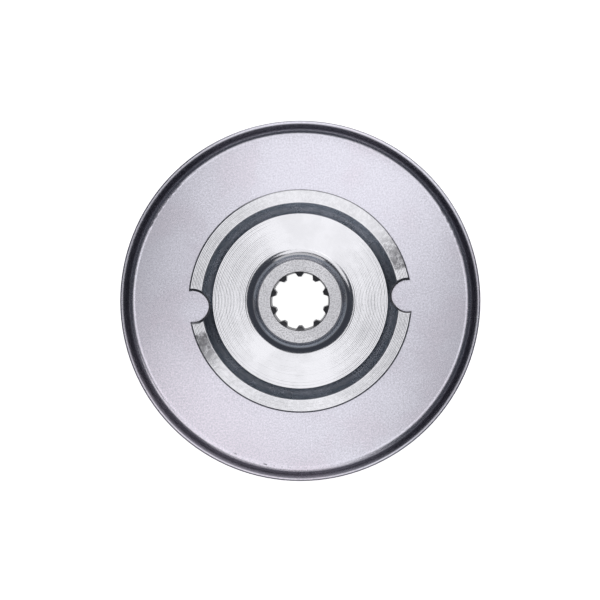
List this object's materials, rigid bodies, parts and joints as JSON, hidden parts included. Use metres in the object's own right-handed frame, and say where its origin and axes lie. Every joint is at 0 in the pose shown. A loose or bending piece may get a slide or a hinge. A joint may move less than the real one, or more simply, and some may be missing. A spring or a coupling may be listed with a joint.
{
  "type": "brush cutter blade support cup",
  "caption": "Round pressed steel cup on a turned splined hub that seats and centres a brush cutter blade; half-round notches in the hub's flange take a lock pin.",
  "frame": {"origin": "on the axis, in the plane of the blade collar's end face, which the part stands on", "axes": "+Z along the axis towards the gear case; +X through a lock pin notch"},
  "size_m": [0.09, 0.09, 0.0122],
  "materials": {
    "zinc_sheet": "satin zinc plate on pressed sheet",
    "turned_steel": "bright zinc plate over concentric turning marks"
  },
  "bodies": {
    "root": {"pressed_cup": "zinc_sheet", "splined_hub": "turned_steel"}
  },
  "joints": []
}
